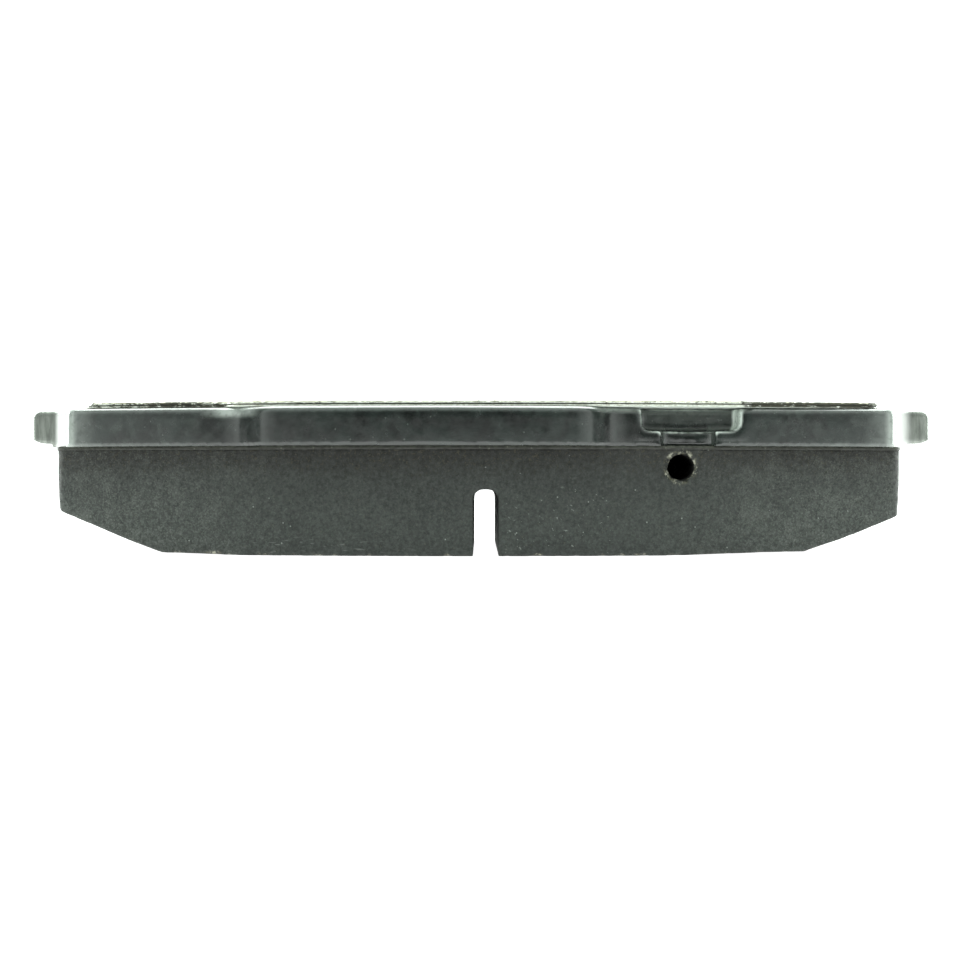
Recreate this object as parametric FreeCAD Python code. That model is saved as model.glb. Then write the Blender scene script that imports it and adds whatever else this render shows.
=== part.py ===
"""Disc brake pad: a friction block moulded on to a painted steel backing plate, with a laminated shim on top.

Millimetres. The rubbing face lies on z = 0 and the shim's rubber coat is the top. +X runs along the pad's
length, -Y faces the rim of the brake disc (the pad's outer edge) and +Y faces the disc's axis. Sizes along Y
are either radii from that axis or distances back from the land, the foremost part of the outer edge.
"""
import FreeCAD, Part
import math
import os

V = FreeCAD.Vector

# heights, from the rubbing face up
FRICTION_THICKNESS = 11.5
UNDERLAYER_THICKNESS = 2.2
BOND_THICKNESS = 0.3
PLATE_THICKNESS = 5.0
SHIM_ADHESIVE_THICKNESS = 0.06
SHIM_INNER_STEEL_THICKNESS = 0.22
DAMPING_CORE_THICKNESS = 0.14
SHIM_OUTER_STEEL_THICKNESS = 0.2
RUBBER_COAT_THICKNESS = 0.12

UNDERLAYER_Z = FRICTION_THICKNESS
BOND_Z = UNDERLAYER_Z + UNDERLAYER_THICKNESS
PLATE_Z = BOND_Z + BOND_THICKNESS
PLATE_TOP = PLATE_Z + PLATE_THICKNESS

# long edges, as radii from the disc's axis at x = 0
LAND_RADIUS = 142.7
FRICTION_INNER_RADIUS = 92.0
PLATE_INNER_RADIUS = 90.0
SHIM_INNER_RADIUS = 93.5
INNER_END_DROP = 4.5       # how far the inner edge falls back from its middle to its ends

# backing plate outline
EAR_TIP_X = 59.8
EAR_ROOT_X = 54.4          # the ears' root towards the outer edge
EAR_BACK_ROOT_X = 57.6     # and towards the inner edge
EAR_FRONT_BACK_FROM_LAND = 12.8
EAR_WIDTH = 15.0
EAR_LIFT = 0.5             # the ears' lower face stands this far above the plate's
EAR_STEP_GAP = 0.4         # and starts this far outside the friction block
EAR_CORNER = 0.8
EAR_ROOT_FILLET = 1.7
EAR_BACK_ROOT_FILLET = 1.2
PLATE_CORNER = 2.2
PLATE_CORNER_BACK_FROM_LAND = 8.6
END_EDGE_BOW = 0.5         # how far the edge between land and corner bulges out of straight
INNER_CORNER_X = 51.5
INNER_CORNER = 6.0
INNER_CORNER_TRIM = 0.88   # what rounding the inner corners takes off the plate's depth
TOP_ROLL = 0.65            # rounded edge that blanking leaves on the plate's top

# raised land in the middle of the plate's outer edge
LAND_LEFT_X = -27.1
LAND_RIGHT_X = 13.7
LAND_LEFT_RAMP = 4.2
LAND_RIGHT_RAMP = 3.2
LAND_CORNER = 5.0
LAND_END_BACK = 1.6        # how far the land's edge falls back from its middle to its ends
DIP_BACK_FROM_LAND = 4.8

# stepped notch for a wear sensor's clip
NOTCH_LEFT_X = 20.6
NOTCH_RIGHT_X = 33.1
NOTCH_DEPTH_Z = 3.0
NOTCH_BACK_FROM_LAND = 8.4
NOTCH_CORNER = 1.0
SLOT_LEFT_X = 23.1
SLOT_RIGHT_X = 30.0
SLOT_BACK_FROM_LAND = 7.2
SLOT_CORNER = 1.0

# blind hole for the wear sensor's probe
SENSOR_X = 25.6
SENSOR_Z = 11.35
SENSOR_RADIUS = 1.65
SENSOR_DEPTH = 15.0        # from the middle of the block's outer edge

# friction block
FRICTION_LEFT_X = -56.6
FRICTION_RIGHT_X = 56.0
FRICTION_BACK_FROM_LAND = 4.2  # its outer edge's middle
FRICTION_END_BACK = 8.6        # and how much further back its ends are
FRICTION_WAIST_RADIUS = 122.0  # where its sides start to close in towards the inner edge
FRICTION_INNER_HALF_WIDTH = 50.0
FRICTION_CORNER = 2.2
FRICTION_INNER_CORNER = 4.0
FRICTION_DRAFT = 0.5       # how much narrower the rubbing face is at each end
GROOVE_X = 0.6
GROOVE_WIDTH = 3.2
GROOVE_HEIGHT = 8.5
LEFT_CHAMFER_X = -41.6
LEFT_CHAMFER_HEIGHT = 5.6
RIGHT_CHAMFER_X = 42.2
RIGHT_CHAMFER_HEIGHT = 4.9
BOND_FLASH = 0.25          # how far the squeezed-out bond line stands proud of the friction block

# moulding holes through the plate, which the underlayer fills
MOULD_HOLE_RADIUS = 4.0
MOULD_HOLE_XS = (-38.0, -15.0, 15.0, 38.0)
MOULD_HOLE_CENTRE_RADIUS = 115.0
PLUG_RECESS = 0.3          # the plugs end this far below the plate's top

# shim
SHIM_HALF_LENGTH = 52.2
SHIM_TONGUE_LEFT_X = -31.4
SHIM_TONGUE_RIGHT_X = 33.4
SHIM_TONGUE_BACK_FROM_LAND = 3.0
SHIM_TONGUE_END_BACK = 4.7
SHIM_STEP = 1.6
SHIM_STEP_BACK_FROM_LAND = 6.4
SHIM_END_BACK_FROM_LAND = 9.4
SHIM_STEP_CORNER = 1.0
SHIM_WAIST_RADIUS = 112.0
SHIM_INNER_HALF_LENGTH = 47.0
SHIM_CORNER = 2.5


# the disc's axis, placed so that the pad's box is centred on y = 0
INNER_END_RADIUS = PLATE_INNER_RADIUS - INNER_END_DROP
DISC_AXIS_Y = (LAND_RADIUS + INNER_END_RADIUS + INNER_CORNER_TRIM) / 2
LAND_Y = DISC_AXIS_Y - LAND_RADIUS


def on_arc(radius, x):
    """The point at x on an arc about the disc's axis, on the pad's side."""
    return V(x, DISC_AXIS_Y - math.sqrt(radius ** 2 - x ** 2), 0)


def bowed_edge(start, end, bow):
    """A shallow arc from start to end that bulges towards the outer edge."""
    return Part.Arc(start, (start + end) * 0.5 - V(0, bow, 0), end).toShape()


def inner_edge(middle_radius, half_width):
    """The pad's concave inner edge, from its right end to its left one."""
    end_y = DISC_AXIS_Y - middle_radius + INNER_END_DROP
    right, left = V(half_width, end_y, 0), V(-half_width, end_y, 0)
    return Part.Arc(right, V(0, DISC_AXIS_Y - middle_radius, 0), left).toShape()


def lines(*points):
    """Straight edges through the points in turn."""
    return [Part.LineSegment(a, b).toShape() for a, b in zip(points, points[1:])]


def slab(edges, z, thickness):
    """A flat solid from a closed outline of edges."""
    face = Part.Face(Part.Wire(Part.__sortEdges__(edges)))
    face.translate(V(0, 0, z))
    return face.extrude(V(0, 0, thickness))


def upright_edges(solid, points):
    """The solid's vertical edges that stand on the given points."""
    found = []
    for edge in solid.Edges:
        a, b = edge.Vertexes[0].Point, edge.Vertexes[-1].Point
        if abs(a.z - b.z) < 0.05 or math.hypot(a.x - b.x, a.y - b.y) > 0.01:
            continue
        if any(math.hypot(a.x - p.x, a.y - p.y) < 0.05 for p in points):
            found.append(edge)
    return found


def round_corners(solid, radius, points):
    """Round the vertical edges that stand on the given points."""
    return solid.makeFillet(radius, upright_edges(solid, points))


def box(x0, x1, y0, y1, z0, z1):
    """A box between two corners."""
    return Part.makeBox(x1 - x0, y1 - y0, z1 - z0, V(x0, y0, z0))


def mould_holes(z0, z1):
    """Cylinders where the moulding holes pass through the plate, from z0 to z1."""
    shapes = []
    for x in MOULD_HOLE_XS:
        centre = on_arc(MOULD_HOLE_CENTRE_RADIUS, x)
        shapes.append(Part.makeCylinder(MOULD_HOLE_RADIUS, z1 - z0, V(centre.x, centre.y, z0)))
    return Part.makeCompound(shapes)


def sensor_hole():
    """The wear sensor's blind hole, from in front of the pad's outer edge."""
    front = LAND_Y + FRICTION_BACK_FROM_LAND
    return Part.makeCylinder(SENSOR_RADIUS, SENSOR_DEPTH, V(SENSOR_X, front, SENSOR_Z), V(0, 1, 0))


def plate_outline():
    """The blank's outline, with the points of its corners by kind."""
    ear_front = LAND_Y + EAR_FRONT_BACK_FROM_LAND
    ear_back = ear_front + EAR_WIDTH
    corner_y = LAND_Y + PLATE_CORNER_BACK_FROM_LAND
    dip_y = LAND_Y + DIP_BACK_FROM_LAND
    inner_y = DISC_AXIS_Y - INNER_END_RADIUS
    ear_l = [V(-EAR_ROOT_X, ear_front, 0), V(-EAR_TIP_X, ear_front, 0), V(-EAR_TIP_X, ear_back, 0),
             V(-EAR_BACK_ROOT_X, ear_back, 0)]
    ear_r = [V(-p.x, p.y, 0) for p in ear_l]
    corner_l, corner_r = V(-EAR_ROOT_X, corner_y, 0), V(EAR_ROOT_X, corner_y, 0)
    dip_l, dip_r = V(LAND_LEFT_X - LAND_LEFT_RAMP, dip_y, 0), V(LAND_RIGHT_X + LAND_RIGHT_RAMP, dip_y, 0)
    land_l, land_r = V(LAND_LEFT_X, LAND_Y + LAND_END_BACK, 0), V(LAND_RIGHT_X, LAND_Y + LAND_END_BACK, 0)
    inner_l, inner_r = V(-INNER_CORNER_X, inner_y, 0), V(INNER_CORNER_X, inner_y, 0)
    edges = lines(inner_l, ear_l[3], ear_l[2], ear_l[1], ear_l[0], corner_l)
    edges += [bowed_edge(corner_l, dip_l, END_EDGE_BOW)]
    edges += lines(dip_l, land_l)
    edges += [bowed_edge(land_l, land_r, LAND_END_BACK)]
    edges += lines(land_r, dip_r)
    edges += [bowed_edge(dip_r, corner_r, END_EDGE_BOW)]
    edges += lines(corner_r, ear_r[0], ear_r[1], ear_r[2], ear_r[3], inner_r)
    edges += [inner_edge(PLATE_INNER_RADIUS, INNER_CORNER_X)]
    corners = {
        "ear_tip": [ear_l[1], ear_l[2], ear_r[1], ear_r[2]],
        "ear_root": [ear_l[0], ear_r[0]],
        "ear_back_root": [ear_l[3], ear_r[3]],
        "plate": [corner_l, corner_r],
        "land": [dip_l, dip_r, land_l, land_r],
        "inner": [inner_l, inner_r],
    }
    return edges, corners


def sensor_notch():
    """The stepped notch: a wide pocket in the plate's top over a narrower slot through the rest."""
    front = LAND_Y - 1
    step_z = PLATE_TOP - NOTCH_DEPTH_Z
    pocket_back, slot_back = LAND_Y + NOTCH_BACK_FROM_LAND, LAND_Y + SLOT_BACK_FROM_LAND
    pocket = box(NOTCH_LEFT_X, NOTCH_RIGHT_X, front, pocket_back, step_z, PLATE_TOP + 1)
    sides = [e for e in pocket.Edges if abs(e.BoundBox.ZMax - step_z) < 0.01 and e.BoundBox.YLength > 1]
    pocket = pocket.makeFillet(NOTCH_CORNER, sides)
    slot = box(SLOT_LEFT_X, SLOT_RIGHT_X, front, slot_back, PLATE_Z - 1, step_z + 0.01)
    back_corners = [V(SLOT_LEFT_X, slot_back, 0), V(SLOT_RIGHT_X, slot_back, 0)]
    slot = round_corners(slot, SLOT_CORNER, back_corners)
    return pocket.fuse(slot)


def backing_plate():
    edges, corners = plate_outline()
    plate = slab(edges, PLATE_Z, PLATE_THICKNESS)
    plate = round_corners(plate, EAR_ROOT_FILLET, corners["ear_root"])
    plate = round_corners(plate, EAR_BACK_ROOT_FILLET, corners["ear_back_root"])
    plate = round_corners(plate, EAR_CORNER, corners["ear_tip"])
    plate = round_corners(plate, PLATE_CORNER, corners["plate"])
    plate = round_corners(plate, LAND_CORNER, corners["land"])
    plate = round_corners(plate, INNER_CORNER, corners["inner"])
    rolled = [e for e in plate.Edges if e.BoundBox.ZMin > PLATE_TOP - 0.01]
    plate = plate.makeFillet(TOP_ROLL, rolled)
    free_l, free_r = FRICTION_LEFT_X - EAR_STEP_GAP, FRICTION_RIGHT_X + EAR_STEP_GAP
    for x0, x1 in ((-EAR_TIP_X - 1, free_l), (free_r, EAR_TIP_X + 1)):
        plate = plate.cut(box(x0, x1, -40, 40, PLATE_Z - 1, PLATE_Z + EAR_LIFT))
    plate = plate.cut(sensor_notch())
    return plate.cut(mould_holes(PLATE_Z - 1, PLATE_TOP + 1))


def friction_slab(z, thickness, grow):
    """A slice of the friction material's moulded outline, grown all round by a margin."""
    left, right = FRICTION_LEFT_X - grow, FRICTION_RIGHT_X + grow
    end_y = LAND_Y + FRICTION_BACK_FROM_LAND + FRICTION_END_BACK - grow
    inner = FRICTION_INNER_RADIUS - grow
    inner_half = FRICTION_INNER_HALF_WIDTH + grow
    waist_y = DISC_AXIS_Y - FRICTION_WAIST_RADIUS
    outer_l, outer_r = V(left, end_y, 0), V(right, end_y, 0)
    inner_y = DISC_AXIS_Y - inner + INNER_END_DROP
    inner_l, inner_r = V(-inner_half, inner_y, 0), V(inner_half, inner_y, 0)
    waist_l, waist_r = V(left, waist_y, 0), V(right, waist_y, 0)
    edges = [bowed_edge(outer_l, outer_r, FRICTION_END_BACK)]
    edges += lines(outer_r, waist_r, inner_r)
    edges += [inner_edge(inner, inner_half)]
    edges += lines(inner_l, waist_l, outer_l)
    solid = slab(edges, z, thickness)
    solid = round_corners(solid, FRICTION_CORNER, [outer_l, outer_r])
    return round_corners(solid, FRICTION_INNER_CORNER, [inner_l, inner_r, waist_l, waist_r])


def end_cutter(end_x, chamfer_x, chamfer_height):
    """What is cut from one end of the block: the lead-in chamfer, and the moulding draft above it."""
    side = math.copysign(1, end_x)
    narrow_x = end_x - side * FRICTION_DRAFT
    below = (narrow_x - chamfer_x) / chamfer_height
    points = [V(chamfer_x - below, 0, -1), V(narrow_x, 0, chamfer_height), V(end_x, 0, FRICTION_THICKNESS),
              V(end_x + 5 * side, 0, FRICTION_THICKNESS), V(end_x + 5 * side, 0, -1)]
    face = Part.Face(Part.makePolygon(points + points[:1]))
    face.translate(V(0, -50, 0))
    return face.extrude(V(0, 100, 0))


def groove():
    """The slot across the middle of the rubbing face, with a rounded top."""
    half = GROOVE_WIDTH / 2
    cutter = box(GROOVE_X - half, GROOVE_X + half, -50, 50, -1, GROOVE_HEIGHT)
    top = [e for e in cutter.Edges if e.BoundBox.ZMin > GROOVE_HEIGHT - 0.01 and e.BoundBox.YLength > 50]
    return cutter.makeFillet(half * 0.8, top)


def friction_block():
    block = friction_slab(0, FRICTION_THICKNESS, 0)
    block = block.cut(end_cutter(FRICTION_LEFT_X, LEFT_CHAMFER_X, LEFT_CHAMFER_HEIGHT))
    block = block.cut(end_cutter(FRICTION_RIGHT_X, RIGHT_CHAMFER_X, RIGHT_CHAMFER_HEIGHT))
    return block.cut(groove()).cut(sensor_hole())


def underlayer():
    """The underlayer, with the plugs that fill the plate's moulding holes."""
    layer = friction_slab(UNDERLAYER_Z, UNDERLAYER_THICKNESS, 0)
    plugs = mould_holes(UNDERLAYER_Z + UNDERLAYER_THICKNESS / 2, PLATE_TOP - PLUG_RECESS)
    return layer.fuse(plugs).removeSplitter().cut(sensor_hole())


def bond_adhesive():
    """The hot-melt film between plate and underlayer, squeezed a little out at its edge."""
    return friction_slab(BOND_Z, BOND_THICKNESS, BOND_FLASH).cut(mould_holes(BOND_Z - 1, PLATE_Z + 1))


def shim_layer(z, thickness, inset):
    """One layer of the shim, its outline drawn in by a margin."""
    ends = SHIM_HALF_LENGTH - inset
    tongue_y = LAND_Y + SHIM_TONGUE_END_BACK + inset
    tongue_l, tongue_r = V(SHIM_TONGUE_LEFT_X + inset, tongue_y, 0), V(SHIM_TONGUE_RIGHT_X - inset, tongue_y, 0)
    step_y, end_y = LAND_Y + SHIM_STEP_BACK_FROM_LAND + inset, LAND_Y + SHIM_END_BACK_FROM_LAND + inset
    step_l, step_r = V(tongue_l.x - SHIM_STEP, step_y, 0), V(tongue_r.x + SHIM_STEP, step_y, 0)
    inner = SHIM_INNER_RADIUS + inset
    inner_half = SHIM_INNER_HALF_LENGTH - inset
    inner_y = DISC_AXIS_Y - inner + INNER_END_DROP
    waist_y = DISC_AXIS_Y - SHIM_WAIST_RADIUS
    out_l, out_r = V(-ends, end_y, 0), V(ends, end_y, 0)
    inner_l, inner_r = V(-inner_half, inner_y, 0), V(inner_half, inner_y, 0)
    waist_l, waist_r = V(-ends, waist_y, 0), V(ends, waist_y, 0)
    edges = [bowed_edge(out_l, step_l, END_EDGE_BOW)]
    edges += lines(step_l, tongue_l)
    edges += [bowed_edge(tongue_l, tongue_r, SHIM_TONGUE_END_BACK - SHIM_TONGUE_BACK_FROM_LAND)]
    edges += lines(tongue_r, step_r)
    edges += [bowed_edge(step_r, out_r, END_EDGE_BOW)]
    edges += lines(out_r, waist_r, inner_r)
    edges += [inner_edge(inner, inner_half)]
    edges += lines(inner_l, waist_l, out_l)
    layer = slab(edges, z, thickness)
    layer = round_corners(layer, SHIM_STEP_CORNER, [step_l, step_r, tongue_l, tongue_r])
    return round_corners(layer, SHIM_CORNER, [out_l, out_r, inner_l, inner_r, waist_l, waist_r])


def shim_stack():
    """The shim's five bonded layers, from the plate up."""
    layers = (
        ("shim_adhesive", SHIM_ADHESIVE_THICKNESS, 0.6),
        ("shim_inner_steel", SHIM_INNER_STEEL_THICKNESS, 0.0),
        ("shim_damping_core", DAMPING_CORE_THICKNESS, 0.1),
        ("shim_outer_steel", SHIM_OUTER_STEEL_THICKNESS, 0.0),
        ("shim_rubber_coat", RUBBER_COAT_THICKNESS, 0.0),
    )
    z = PLATE_TOP
    stack = {}
    for name, thickness, inset in layers:
        stack[name] = shim_layer(z, thickness, inset)
        z += thickness
    return stack


def main():
    nodes = {
        "backing_plate": backing_plate(),
        "bond_adhesive": bond_adhesive(),
        "underlayer": underlayer(),
        "friction_block": friction_block(),
    }
    nodes.update(shim_stack())
    os.makedirs("parts", exist_ok=True)
    for name, shape in nodes.items():
        solid = shape.Solids[0] if len(shape.Solids) == 1 else shape
        print(name, len(shape.Solids), shape.isValid(), round(shape.Volume, 1), shape.BoundBox)
        solid.exportStep("parts/" + name + ".step")


main()
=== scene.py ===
"""Disc brake pad: a painted steel plate, a moulded friction block and a laminated shim.

Lengths are in metres, except where a name ends in _MM. The rubbing face lies on z = 0 and the pad's outer
edge faces -Y. Each visible piece starts from its CAD node, read from the frame, and gains worn edges, chips
and lumps as real geometry. Two numbers under a name in _XS, _YS or _ZS are where an effect begins to change
along that axis and where the change ends.
"""

import bmesh
import bpy
from math import pi, radians
import numpy as np
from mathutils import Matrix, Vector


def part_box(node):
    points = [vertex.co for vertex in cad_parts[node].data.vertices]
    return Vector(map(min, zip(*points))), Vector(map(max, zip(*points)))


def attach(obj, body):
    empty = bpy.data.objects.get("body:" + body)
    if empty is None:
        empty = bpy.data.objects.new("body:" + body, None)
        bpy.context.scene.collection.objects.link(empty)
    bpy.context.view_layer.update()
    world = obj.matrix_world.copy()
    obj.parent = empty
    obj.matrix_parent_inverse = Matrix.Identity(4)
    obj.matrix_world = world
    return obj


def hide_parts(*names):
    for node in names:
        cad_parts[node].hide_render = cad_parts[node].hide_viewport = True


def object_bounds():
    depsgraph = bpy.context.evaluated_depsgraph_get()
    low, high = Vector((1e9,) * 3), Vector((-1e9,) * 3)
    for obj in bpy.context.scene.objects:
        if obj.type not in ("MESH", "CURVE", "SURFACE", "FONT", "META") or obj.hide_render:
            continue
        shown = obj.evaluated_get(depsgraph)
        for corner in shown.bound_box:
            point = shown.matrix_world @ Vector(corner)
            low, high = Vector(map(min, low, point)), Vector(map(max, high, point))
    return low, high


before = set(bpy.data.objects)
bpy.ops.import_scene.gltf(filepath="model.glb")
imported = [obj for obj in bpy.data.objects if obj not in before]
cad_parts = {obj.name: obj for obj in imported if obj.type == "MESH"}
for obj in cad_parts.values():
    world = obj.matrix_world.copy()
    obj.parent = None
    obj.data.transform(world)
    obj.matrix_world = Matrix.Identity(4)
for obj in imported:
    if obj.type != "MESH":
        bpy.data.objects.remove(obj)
cad_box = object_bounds()

MM = 0.001

# how finely the pieces are remeshed, and what share of their faces is kept afterwards
PLATE_VOXEL = 0.2 * MM
COMPOUND_VOXEL = 0.2 * MM
PLATE_KEPT = 0.27
COMPOUND_KEPT = 0.35
OUTLINE_STEP = 0.12 * MM
WELD_DISTANCE = 1e-7

# edges that turn by more than this many degrees are sharp, and the shim's level faces are shaded flat
SHARP_ANGLE = 50
FLAT_NORMAL = 0.999

# cells along each side of the random table behind the lumps
TABLE_SIDE = 48

# the plate: where things are, as in the CAD, and where each effect fades in
LAND_Y = cad_box[0][1]
LAND_ZONE_Y = LAND_Y + 10 * MM
RECESS_Y = LAND_Y + 6.1 * MM
POCKET_Y = LAND_Y + 7.6 * MM
END_HIGHLIGHT_YS = (LAND_Y + 11 * MM, LAND_Y + 14 * MM)
END_HIGHLIGHT_XS = (52.2 * MM, 53.4 * MM)
ENDS_XS = (30 * MM, 50 * MM)
DIP_MIDDLES = (-31.8 * MM, 17.6 * MM)
DIP_REACH = (0.6 * MM, 5.0 * MM)
DIP_ZS = (16.5 * MM, 18.0 * MM)
NOTCH_X = 26.85 * MM
NOTCH_HALF_WIDTH = 6.25 * MM
NOTCH_FADE = 2 * MM
NOTCH_WALL_X = NOTCH_X + 4 * MM
NOTCH_FLOOR_ZS = (16.4 * MM, 17.0 * MM)
POCKET_ZS = (16.7 * MM, 17.1 * MM)
SLOT_X = 26.55 * MM
SLOT_CORNER_LIGHT_REACH = (2.5 * MM, 3.1 * MM)
SLOT_TOP_ZS = (16.6 * MM, 17.0 * MM)
EAR_ROOT_XS = (54.5 * MM, 56.0 * MM)
EAR_TIP_XS = (57.6 * MM, 59.8 * MM)
EAR_THINNING = 0.20
PLATE_MIDDLE_Z = 16.75 * MM
UPPER_EDGE_ZS = (17.2 * MM, 18.2 * MM)
ROLLED_HIGHLIGHT_ZS = (18.10 * MM, 18.75 * MM)
LOWER_EDGE_LIGHT_ZS = (14.10 * MM, 14.60 * MM)

# the plate: how often its edges are evened out, and how high the paint's lumps are
EDGE_STEPS = 7
BUILD_UP_STEPS = 36
PROUD_STEPS = 10
PAINT_LUMP = 0.016 * MM
SLOT_LUMP_MM = 0.040
RECESS_LUMP_MM = 0.022

# the compound: the sensor hole, where wear starts and ends, and how deep it goes
SENSOR_X = 25.6 * MM
SENSOR_Z = 11.35 * MM
SENSOR_RADIUS = 1.65 * MM
SENSOR_MOUTH_Y = LAND_Y + 5.99 * MM
BEHIND_BORE_Y = 0
BLOCK_EDGE_STEPS = 2
BLOCK_WORN_STEPS = 16
TOP_EDGE_ZS = (13.0 * MM, 13.4 * MM)
CHIPS_END_ZS = (12.4 * MM, 13.4 * MM)
NEAR_FACE_ZS = (0.8 * MM, 2.0 * MM)
PIT_DEPTH = 0.10 * MM
BREAKOUT_DEPTH = 0.32 * MM
CHIP_DEPTHS = (0.05 * MM, 0.20 * MM)
LEFT_RISE_MM, LEFT_RISE_XS = 0.24, (30 * MM, 41 * MM)
RIGHT_RISE_MM, RIGHT_RISE_XS = 0.36, (22 * MM, 41 * MM)
RISE_FADE_Z = 2.5 * MM

# the bond line and the shim's left tip
BOND_LAP = 0.10 * MM
BOND_SQUEEZE_MM = 0.17
SHIM_TIP_STEP_MM = 0.09
SHIM_TIP_XS = (50.4 * MM, 52.2 * MM)

# camera
CAMERA_DISTANCE = 172 * MM
CAMERA_HEIGHT = 9.7 * MM
CAMERA_SIDE = -0.12 * MM
LENS = 52.1

# light: the panels, the floor, and the tent, which changes in steps as a direction turns away from -Y: each
# step says the direction's Y where it starts and where it ends, and the brightness that it adds
PANEL_GLOW = 6.5
PANEL_AIM = (0, 0, 0.015)
OVERHEAD_PLACE, OVERHEAD_SIZE = (0, 0.09, 0.36), (0.5, 0.38)
SIDE_PLACE, SIDE_SIZE = (0.42, 0.16, 0.10), (0.26, 0.24)
FLOOR_GLOW = 1.05
FLOOR_REACH = 4.0
FRONT_GLOW = 0.09
BACKDROP_GLOW = 1.3
TENT_COLOUR = (0.93, 1.0, 0.955)
TENT_FADES = ((-0.975, -0.82, 0.75), (-0.82, -0.50, 0.65), (-0.40, -0.26, -1.42), (0.12, 0.30, 1.8))

# colours of the plate: its paint, its painted highlights and painted sheen, the pale of its worn notch edges,
# and the bare steel of the ears
PAINT_DARK, PAINT_LIGHT = (0.002, 0.004, 0.003), (0.011, 0.017, 0.0145)
PAINT_DUST = (0.026, 0.033, 0.029)
PAINT_SPECK = (0.25, 0.28, 0.25)
PAINT_PATCH_AND_SHEEN = (0.036, 0.046, 0.040)
PAINT_END_HIGHLIGHT = (0.11, 0.125, 0.115)
PAINT_WORN_AND_HIGHLIGHT = (0.66, 0.74, 0.68)
STEEL_DARK, STEEL_LIGHT = (0.12, 0.135, 0.118), (0.27, 0.295, 0.265)
EAR_ROOT_HIGHLIGHT = (0.95, 0.97, 0.95)

# colours of the compound, of what is mixed into it, and of its painted light and painted shade
COMPOUND_DARK, COMPOUND_LIGHT = (0.018, 0.024, 0.021), (0.029, 0.037, 0.032)
GRAIN = (0.058, 0.070, 0.060)
LIT_ENDS_GREY = (0.070, 0.080, 0.070)
GRIT = (0.115, 0.135, 0.118)
SHADE = (0.008, 0.010, 0.008)
BROWN = (0.0125, 0.0135, 0.0095)
PEPPER = (0.006, 0.006, 0.004)
SALT = (0.120, 0.110, 0.066)
DARK_FLECK = (0.009, 0.010, 0.008)
ASH = (0.150, 0.168, 0.146)
OLIVE_FLECK = (0.10, 0.10, 0.07)
LIGHT_FLECK = (0.36, 0.40, 0.36)
SCRAPE = (0.20, 0.22, 0.20)
NICK = (0.24, 0.27, 0.24)
SHADE_NEAR_PLATE = (0.002, 0.0025, 0.002)
CHIP_OCHRE, CHIP_PALE = (0.085, 0.083, 0.052), (0.42, 0.42, 0.33)
BORE_SHADE = (0.0015, 0.0015, 0.0015)

# colours of the bond line and the shim
BOND_DARK, BOND_LIGHT = (0.018, 0.020, 0.014), (0.050, 0.054, 0.040)
BOND_UNDER = (0.012, 0.013, 0.009)
BOND_FLECK = (0.20, 0.21, 0.16)
CUT_STEEL_DARK, CUT_STEEL_LIGHT = (0.50, 0.52, 0.42), (0.90, 0.95, 0.88)
SMEAR_DARK, SMEAR_LIGHT = (0.012, 0.013, 0.008), (0.075, 0.076, 0.048)
RUBBER_FACE_DARK, RUBBER_FACE_LIGHT = (0.0085, 0.0095, 0.0085), (0.0125, 0.0135, 0.0120)
RUBBER_FACE_SPECK = (0.12, 0.13, 0.11)
CHALK = (0.74, 0.73, 0.54)
CORE_DARK, CORE_LIGHT = (0.008, 0.008, 0.006), (0.030, 0.031, 0.020)
COAT_DARK, COAT_LIGHT = (0.030, 0.032, 0.018), (0.105, 0.105, 0.062)
# near-white glue: painted light where the shim's edge would lie in shade
GLUE_DARK, GLUE_LIGHT = (0.60, 0.66, 0.60), (0.80, 0.86, 0.80)

# where the plate's paint, its painted highlights and sheen, and its bare steel change
PATCH_SHEEN_XS_MM = (30.0, 40.0)
END_SHEEN_XS_MM, END_SHEEN_YS_MM = (49.0, 53.2), (-17.0, -13.0)
BARE_XS_MM, BARE_Y_RANGE_MM, BARE_Y_FADE_MM = (53.7, 54.5), (-20.5, 0.6), 0.9
ROOT_HIGHLIGHT_LEFT_XS_MM, ROOT_HIGHLIGHT_RIGHT_XS_MM = (-56.8, -56.1), (55.7, 57.6)
ROOT_HIGHLIGHT_YS_MM = (-15.2, -14.2)

# where the compound changes
LIT_ENDS_XS_MM = (20.0, 46.0)
BROWN_ZS_MM, BROWN_UNEVEN_MM = (11.8, 16.4), 5.0
SHADE_NEAR_PLATE_ZS_MM = (1.0, 13.5)
SCRAPED_X_RANGE_MM, SCRAPED_Z_RANGE_MM = (-28.0, -14.0), (0.2, 1.6)
NICKED_X_RANGE_MM, NICKED_Z_RANGE_MM = (4.0, 16.0), (1.0, 8.0)
NICK_SLANT = 52

# where the bond line's dark lower part ends
BOND_UNDER_ZS_MM = (13.76, 13.90)

# where the look of the shim's middle gives way to that of its ends, and where the far left begins
TONGUE_LEFT_MM = -31.0
TONGUE_RIGHT_XS_MM = (32.6, 34.2)
FAR_LEFT_XS_MM = (-43.0, -39.0)
FAR_LEFT_EXTRA = 0.10

# how far left the look of the shim's middle reaches, in its inner layers and in its outer ones
INNER_REACH_MM = 34.0
OUTER_REACH_MM = 41.0


# ---------------------------------------------------------------- arrays and noise

def points_of(mesh):
    """The mesh's vertices as an array of rows."""
    flat = np.empty(len(mesh.vertices) * 3)
    mesh.vertices.foreach_get("co", flat)
    return flat.reshape(-1, 3)


def edges_of(mesh):
    """The mesh's edges as an array of vertex pairs."""
    flat = np.empty(len(mesh.edges) * 2, dtype=np.int32)
    mesh.edges.foreach_get("vertices", flat)
    return flat.reshape(-1, 2)


def normals_of(mesh):
    """The mesh's vertex normals as an array of rows."""
    flat = np.empty(len(mesh.vertices) * 3)
    mesh.vertex_normals.foreach_get("vector", flat)
    return flat.reshape(-1, 3)


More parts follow.
